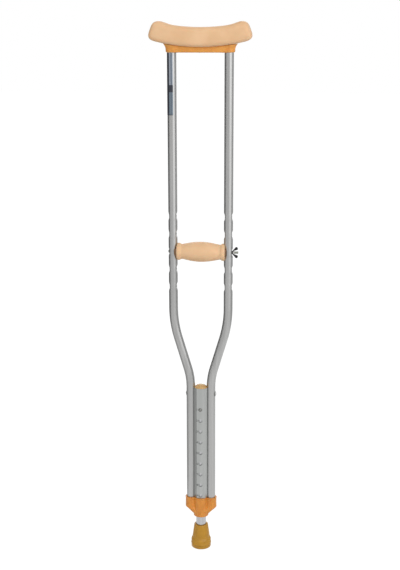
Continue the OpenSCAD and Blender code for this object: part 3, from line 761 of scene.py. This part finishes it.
def pressDimples(bm, spec):
    for vert in bm.verts:
        index = round((vert.co.z - spec["dimpleLow"]) / spec["dimplePitch"])
        if not 0 <= index < spec["dimples"]:
            continue
        above = abs(vert.co.z - spec["dimpleLow"] - index * spec["dimplePitch"])
        press = 1.0 - blendStep(above, spec["flatHalf"], spec["dimpleHalf"])
        limit = spec["radius"] - spec["dimpleDepth"] * press
        aside = vert.co.x - spec["highX"]
        if abs(aside) > limit:
            vert.co.x = spec["highX"] + math.copysign(limit, aside)
        vert.co.y *= 1.0 + spec["fatten"] * press


# The skin of a right bow from its foot up, without its wall
def runBow(spec, low, high):
    splay = math.radians(spec["splay"])
    bends = spec["lowBend"] + spec["highBend"]
    splayLength = (spec["highX"] - spec["lowX"] - bends * (1 - math.cos(splay))) / math.sin(splay)
    away = Vector((math.sin(splay), 0.0, math.cos(splay))) * splayLength
    highZ = spec["bendZ"] + bends * math.sin(splay) + away.z
    reach = spec["dimpleHalf"] + spec["ringMargin"]
    firstZ = spec["dimpleLow"] - reach
    dimpleSpan = spec["dimplePitch"] * (spec["dimples"] - 1) + 2 * reach
    bm = bmesh.new()
    bmesh.ops.create_circle(bm, segments=spec["segments"], radius=spec["radius"],
                            matrix=Matrix.Translation((spec["lowX"], 0.0, low.z)))
    ring = runTube(bm, list(bm.edges), up * (spec["bendZ"] - low.z), spec["straightSteps"])
    ring = bendTube(bm, ring, (spec["lowX"] + spec["lowBend"], 0.0, spec["bendZ"]), splay,
                    spec["lowBendSteps"])
    ring = runTube(bm, ring, away, spec["straightSteps"])
    ring = bendTube(bm, ring, (spec["highX"] - spec["highBend"], 0.0, highZ), -splay,
                    spec["highBendSteps"])
    ring = runTube(bm, ring, up * (firstZ - highZ), spec["straightSteps"])
    ring = runTube(bm, ring, up * dimpleSpan, round(dimpleSpan / spec["ringGap"]))
    runTube(bm, ring, up * (high.z - firstZ - dimpleSpan), spec["topSteps"])
    pressDimples(bm, spec)
    bmesh.ops.recalc_face_normals(bm, faces=bm.faces)
    return bm


def drillBow(bow, spec):
    holes = bmesh.new()
    for index in range(spec["dimples"]):
        place = (spec["highX"], 0.0, spec["dimpleLow"] + index * spec["dimplePitch"])
        addCylinder(holes, spec["holeRadius"], cutterReach * spec["radius"], lyingAt(place),
                    spec["holeSegments"])
    combine(bow, makeObject("gripHoleCut", holes), "DIFFERENCE")


def makeBow(spec, name, nodeName, side):
    bow = makeObject(name, runBow(spec, *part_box(nodeName)))
    wall = bow.modifiers.new("wall", "SOLIDIFY")
    wall.thickness = spec["wall"]
    wall.offset = -1.0
    settle(bow)
    drillBow(bow, spec)
    if side < 0:
        bow.data.transform(Matrix.Scale(-1.0, 4, (1.0, 0.0, 0.0)))
        bow.data.flip_normals()
    dress(bow, "bow_aluminium", "frame", nodeName, sharpAngle=30.0)


makeBow(bowForm, "leftBow", "left_bow_tube", -1)
makeBow(bowForm, "rightBow", "right_bow_tube", 1)
print("bow tubes are bent and pressed")

# Mouldings: the CAD forms with their edges softened as a mould leaves them

mouldedPieces = {
    "bottom_bracket": {"name": "softBracket", "voxel": 0.42 * mm, "rounds": 8},
    "crosspiece": {"name": "softCrosspiece", "voxel": 0.6 * mm, "rounds": 4},
    "centre_cap": {"name": "softCap", "voxel": 0.35 * mm, "rounds": 3},
}

bracketForm = {
    "lipHeight": 2.5 * mm,
    "rimDrop": 3.6 * mm,      # puts the rim below the lowest height hole
    "lobeX": bowForm["lowX"],
    "lipIn": 0.4 * mm,        # how far the lip is drawn back in
    "spare": 0.1 * mm,        # takes the lip's lowest edge along
}


# Lowers the bracket's rim, lip and all
def shapeBracket(bracket, spec):
    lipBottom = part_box("bottom_bracket")[1].z - spec["lipHeight"] - spec["spare"]
    for vert in bracket.data.vertices:
        if vert.co.z <= lipBottom:
            continue
        if abs(vert.co.x) > spec["lobeX"]:
            lobe = Vector((math.copysign(spec["lobeX"], vert.co.x), 0.0, vert.co.z))
            outwards = vert.co - lobe
            vert.co = lobe + outwards * (1.0 - spec["lipIn"] / outwards.length)
        vert.co.z -= spec["rimDrop"]


for nodeName, spec in mouldedPieces.items():
    moulding = copyNode(nodeName, spec["name"])
    if nodeName == "bottom_bracket":
        shapeBracket(moulding, bracketForm)
    softenEdges(moulding, spec["voxel"], spec["rounds"])
    dress(moulding, "amber_plastic", "frame", nodeName, sharpAngle=60.0,
          finish=ownFinishes.get(nodeName))
print("mouldings are softened")

# Rubber tip: turned from a profile with its rim, step, wear ring and treaded sole

tipForm = {
    "height": 54.6 * mm,
    "baseRadius": 21.8 * mm,
    "stepZ": 19.0 * mm,
    "stepHeight": 5.0 * mm,
    "waistRadius": 19.25 * mm,
    "topRadius": 15.5 * mm,
    "edgeRound": 2.2 * mm,
    "rimRound": 1.6 * mm,
    "mouthRound": 0.8 * mm,
    "boreRadius": 11.2 * mm,
    "soleThickness": 12.4 * mm,
    "ringZ": 9.6 * mm,
    "ringHeight": 1.0 * mm,
    "ringOut": 0.6 * mm,
    "treads": (7.4 * mm, 14.8 * mm),      # inner radius of each groove in the sole
    "treadWidth": 2.0 * mm,
    "treadDepth": 1.5 * mm,
    "shoulderTurn": 0.6,        # how far the rounding over the base turns, in quarter turns
    "waistFrom": 1.55,          # where the hollow over the step starts, in quarter turns
    "rimFrom": 0.12,            # where the rim's rounding starts, in radians
    "baseSteps": 6,
    "shoulderSteps": 4,
    "rimSteps": 5,
    "mouthSteps": 3,
    "steps": 96,
}


def tipProfile(spec):
    base = spec["baseRadius"]
    edge = spec["edgeRound"]
    rim = spec["rimRound"]
    mouth = spec["mouthRound"]
    quarter = math.pi / 2
    outline = [(0.0, 0.0)]
    for inner in spec["treads"]:
        outer = inner + spec["treadWidth"]
        outline += [(inner, 0.0), (inner, spec["treadDepth"]), (outer, spec["treadDepth"]), (outer, 0.0)]
    outline += arcPoints(base - edge, edge, edge, -quarter, 0.0, spec["baseSteps"])
    crest = base + spec["ringOut"]
    foot = spec["ringHeight"]
    outline += [(base, spec["ringZ"] - foot), (crest, spec["ringZ"] - foot / 4),
                (crest, spec["ringZ"] + foot / 4), (base, spec["ringZ"] + foot)]
    stepTop = spec["stepZ"] + spec["stepHeight"]
    outline += arcPoints(base - edge / 2, spec["stepZ"] - edge / 4, edge / 2,
                         0.0, quarter * spec["shoulderTurn"], spec["shoulderSteps"])
    outline += arcPoints(spec["waistRadius"] + edge, stepTop + edge / 2, edge,
                         -quarter * spec["waistFrom"], -2 * quarter, spec["shoulderSteps"])
    outline += arcPoints(spec["topRadius"] - rim, spec["height"] - rim, rim,
                         spec["rimFrom"], quarter, spec["rimSteps"])
    outline += arcPoints(spec["boreRadius"] + mouth, spec["height"] - mouth, mouth,
                         quarter, 2 * quarter, spec["mouthSteps"])
    outline += [(spec["boreRadius"], spec["soleThickness"]), (0.0, spec["soleThickness"])]
    return outline


def makeTip(spec):
    bm = bmesh.new()
    points = [(radius, 0.0, z) for radius, z in tipProfile(spec)]
    spinProfile(bm, points, (0.0, 0.0, 0.0), up, spec["steps"], closed=False)
    dress(makeObject("ribbedTip", bm), "tip_rubber", "leg", "rubber_tip", sharpAngle=45.0)


makeTip(tipForm)

# Wing nut: a turned hub and two wings cut from plate, blended as one moulding

nutForm = {
    "hubRadius": 3.9 * mm,
    "hubLength": 2.4 * mm,
    "boreRadius": 3.3 * mm,
    "tipRadius": 3.5 * mm,
    "tipReach": 9.2 * mm,
    "tipRise": 8.4 * mm,
    "rootReach": 1.6 * mm,
    "rootRise": 3.2 * mm,
    "rootRadius": 0.55 * mm,
    "thickness": 2.6 * mm,
    "tipSteps": 20,
    "rootSteps": 10,
    "hubSegments": 40,
    "voxel": 0.2 * mm,
    "rounds": 3,
}


def addWing(bm, spec, start, side):
    reach = spec["tipReach"] - spec["rootReach"]
    rise = spec["tipRise"] - spec["rootRise"]
    lean = math.atan2(rise, reach)
    span = math.hypot(reach, rise)
    spread = math.acos((spec["tipRadius"] - spec["rootRadius"]) / span)
    outline = arcPoints(span, 0.0, spec["tipRadius"], -spread, spread, spec["tipSteps"])
    outline += arcPoints(0.0, 0.0, spec["rootRadius"], spread, 2 * math.pi - spread, spec["rootSteps"])
    verts = [bm.verts.new((x, -spec["thickness"] / 2, z)) for x, z in outline]
    face = bm.faces.new(verts)
    grown = bmesh.ops.extrude_face_region(bm, geom=[face])["geom"]
    lifted = [item for item in grown if isinstance(item, bmesh.types.BMVert)]
    bmesh.ops.translate(bm, verts=lifted, vec=(0.0, spec["thickness"], 0.0))
    wing = verts + lifted
    turn = Matrix.Rotation(-lean, 4, "Y")
    place = Matrix.Translation(start + Vector((spec["rootReach"], 0.0, spec["rootRise"])))
    bmesh.ops.transform(bm, matrix=place @ turn, verts=wing)
    if side < 0:
        flip = Matrix.Scale(-1.0, 4, (0.0, 0.0, 1.0))
        bmesh.ops.transform(bm, matrix=Matrix.Translation(start) @ flip @ Matrix.Translation(-start),
                            verts=wing)


def makeNut(spec):
    low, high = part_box("wing_nut")
    start = Vector((low.x, 0.0, (low.z + high.z) / 2))
    bm = bmesh.new()
    addCylinder(bm, spec["hubRadius"], spec["hubLength"],
                lyingAt(start + Vector((spec["hubLength"] / 2, 0.0, 0.0))), spec["hubSegments"])
    nut = makeObject("softWingNut", bm)
    for side in (-1, 1):
        wing = bmesh.new()
        addWing(wing, spec, start, side)
        bmesh.ops.recalc_face_normals(wing, faces=wing.faces)
        combine(nut, makeObject("wing", wing), "UNION")
    bore = bmesh.new()
    addCylinder(bore, spec["boreRadius"], cutterReach * spec["hubLength"], lyingAt(start),
                spec["hubSegments"])
    combine(nut, makeObject("boreCut", bore), "DIFFERENCE")
    softenEdges(nut, spec["voxel"], spec["rounds"])
    dress(nut, "black_plastic", "nut", "wing_nut", sharpAngle=60.0)


makeNut(nutForm)
print("tip and wing nut are made")

# Printed plain numbers beside the height holes, smallest setting first

numbers = {
    "count": 9,
    "pitch": 25.4 * mm,
    "size": 6.6 * mm,
    "centreX": -7.2 * mm,
    "faceBack": 0.33 * mm,      # how far the crowned face has fallen back at the numbers
    "depth": 0.03 * mm,
    "standOff": 0.02 * mm,
}


def printNumbers(spec):
    buttonLow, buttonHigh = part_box("snap_button")
    holeZ = (buttonLow.z + buttonHigh.z) / 2
    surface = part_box("centre_tube")[0].y + spec["faceBack"] - spec["standOff"]
    facing = Matrix.Rotation(math.pi / 2, 4, "X")
    for index in range(spec["count"]):
        data = bpy.data.curves.new(f"heightMark{index + 1}", "FONT")
        data.body = str(index + 1)
        data.size = spec["size"]
        data.extrude = spec["depth"]
        data.align_x = "CENTER"
        data.align_y = "CENTER"
        text = addObject(f"heightText{index + 1}", data)
        bpy.context.view_layer.update()
        mesh = bpy.data.meshes.new_from_object(text.evaluated_get(bpy.context.evaluated_depsgraph_get()))
        bpy.data.objects.remove(text)
        mark = addObject(f"heightMark{index + 1}", mesh)
        place = Matrix.Translation((spec["centreX"], surface, holeZ - index * spec["pitch"]))
        mesh.transform(place @ facing)
        dress(mark, "label_film", "frame", None, sharpAngle=30.0, finish=finishes["black_plastic"])


printNumbers(numbers)
print("height numbers are printed")

# Studio: a white floor and background that keep the light on the object plain

studio = {
    "floorSize": 30.0,
    "floorColour": (0.8, 0.8, 0.8),
    "floorGap": 0.2 * mm,    # keeps the floor clear of the sole
    "shadowShare": 0.2,      # how much of the floor's own shading shows under its white
    "floorWhite": 1.16,
    "ambient": 0.55,
}

lamps = {
    "keyLamp": {"power": 42.0, "place": (1.9, -1.9, 2.3), "size": 0.9},
    "fillLamp": {"power": 13.0, "place": (-1.6, -2.4, 1.6), "size": 1.6},
    "backLamp": {"power": 14.0, "place": (-0.6, 2.6, 1.9), "size": 1.6},
}
lampAim = (0.0, 0.0, 0.6)

# Upright cards that only the shiny pieces see: turn is in degrees from the front towards the right
cards = {
    "darkCard": {"turn": -117.0, "distance": 1.15, "width": 2.1, "low": 0.0, "level": 0.2},
    "leftCard": {"turn": -52.0, "distance": 1.2, "width": 1.0, "low": 0.0, "level": 0.8},
    "frontCard": {"turn": -8.0, "distance": 1.2, "width": 0.9, "low": 0.0, "level": 0.86},
    "stripCard": {"turn": 49.0, "distance": 1.2, "width": 1.15, "low": 0.4, "level": 1.55},
    "lowCard": {"turn": 49.0, "distance": 1.3, "width": 1.25, "low": 0.0, "level": 0.85},
    "rightCard": {"turn": 116.0, "distance": 1.2, "width": 2.0, "low": 0.0, "level": 0.6},
}
cardTop = 2.4

# A card that lies beside the object, for the stretch of the bows that mirrors the floor
floorCard = {"turn": -112.0, "distance": 0.7, "width": 1.2, "deep": 0.85, "height": 0.001, "level": 0.58}


def seenDirectly(tree, place):
    path = addNode(tree, "ShaderNodeLightPath", place)
    seen = mathNode(tree, "MAXIMUM", path.outputs["Is Camera Ray"], path.outputs["Is Glossy Ray"],
                    (place[0] + 200, place[1]))
    return mathNode(tree, "MAXIMUM", seen, path.outputs["Is Transmission Ray"],
                    (place[0] + 400, place[1]))


def makeWorld(spec):
    world = bpy.data.worlds.new("studioWorld")
    bpy.context.scene.world = world
    tree = clearTree(world)
    out = addNode(tree, "ShaderNodeOutputWorld", (600, 0))
    back = addNode(tree, "ShaderNodeBackground", (400, 0))
    power = addNode(tree, "ShaderNodeMapRange", (150, 0))
    tree.links.new(seenDirectly(tree, (-600, 0)), power.inputs["Value"])
    power.inputs["To Min"].default_value = spec["ambient"]
    power.inputs["To Max"].default_value = 1.0
    tree.links.new(power.outputs[0], back.inputs["Strength"])
    back.inputs["Color"].default_value = (1.0, 1.0, 1.0, 1.0)
    tree.links.new(back.outputs[0], out.inputs["Surface"])


# A flat panel of one face, lying at the origin
def flatPanel(width, tall):
    bm = bmesh.new()
    bmesh.ops.create_grid(bm, x_segments=1, y_segments=1, size=0.5)      # one metre each way
    bmesh.ops.scale(bm, verts=bm.verts, vec=(width, tall, 1.0))
    return bm


def makeFloor(spec):
    material = bpy.data.materials.new("studioFloor")
    tree = clearTree(material)
    out = addNode(tree, "ShaderNodeOutputMaterial", (600, 0))
    matte = addNode(tree, "ShaderNodeBsdfDiffuse", (0, 150))
    matte.inputs["Color"].default_value = (*spec["floorColour"], 1.0)
    white = addNode(tree, "ShaderNodeEmission", (0, -100))
    white.inputs["Strength"].default_value = spec["floorWhite"]
    seen = seenDirectly(tree, (-700, 300))
    share = mathNode(tree, "MULTIPLY", seen, 1.0 - spec["shadowShare"], (0, 350))
    mix = addNode(tree, "ShaderNodeMixShader", (300, 0))
    tree.links.new(share, mix.inputs["Fac"])
    tree.links.new(matte.outputs[0], mix.inputs[1])
    tree.links.new(white.outputs[0], mix.inputs[2])
    tree.links.new(mix.outputs[0], out.inputs["Surface"])
    floor = makeObject("studioFloor", flatPanel(spec["floorSize"], spec["floorSize"]))
    floor.data.materials.append(material)
    floor.location = (0.0, 0.0, cadBounds[0][2] - spec["floorGap"])
    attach(floor, "leg")        # the tip stands on the floor when the leg is out too


def makeLamp(name, spec, aim):
    data = bpy.data.lights.new(name, "AREA")
    data.energy = spec["power"]
    data.size = spec["size"]
    lamp = addObject(name, data)
    lamp.location = spec["place"]
    lamp.rotation_euler = (Vector(aim) - Vector(spec["place"])).to_track_quat("-Z", "Y").to_euler()


def makeCard(name, spec, tall, height, tilt):
    material = bpy.data.materials.new(name)
    tree = clearTree(material)
    out = addNode(tree, "ShaderNodeOutputMaterial", (300, 0))
    glow = addNode(tree, "ShaderNodeEmission", (0, 0))
    glow.inputs["Strength"].default_value = spec["level"]
    tree.links.new(glow.outputs[0], out.inputs["Surface"])
    turn = math.radians(spec["turn"])
    place = (spec["distance"] * math.sin(turn), -spec["distance"] * math.cos(turn), height)
    bm = flatPanel(spec["width"], tall)
    bmesh.ops.transform(bm, verts=bm.verts, matrix=Matrix.Translation(place)
                        @ Matrix.Rotation(turn, 4, "Z") @ Matrix.Rotation(tilt, 4, "X"))
    card = makeObject(name, bm)
    card.data.materials.append(material)
    card.visible_camera = False
    card.visible_diffuse = False
    card.visible_shadow = False
    card.visible_transmission = False


makeWorld(studio)
makeFloor(studio)
for name, spec in cards.items():
    makeCard(name, spec, tall=cardTop - spec["low"], height=(cardTop + spec["low"]) / 2, tilt=math.pi / 2)
makeCard("floorCard", floorCard, tall=floorCard["deep"], height=floorCard["height"], tilt=0.0)
for name, spec in lamps.items():
    makeLamp(name, spec, lampAim)
bpy.context.scene.view_settings.view_transform = "Standard"
print("studio is lit")
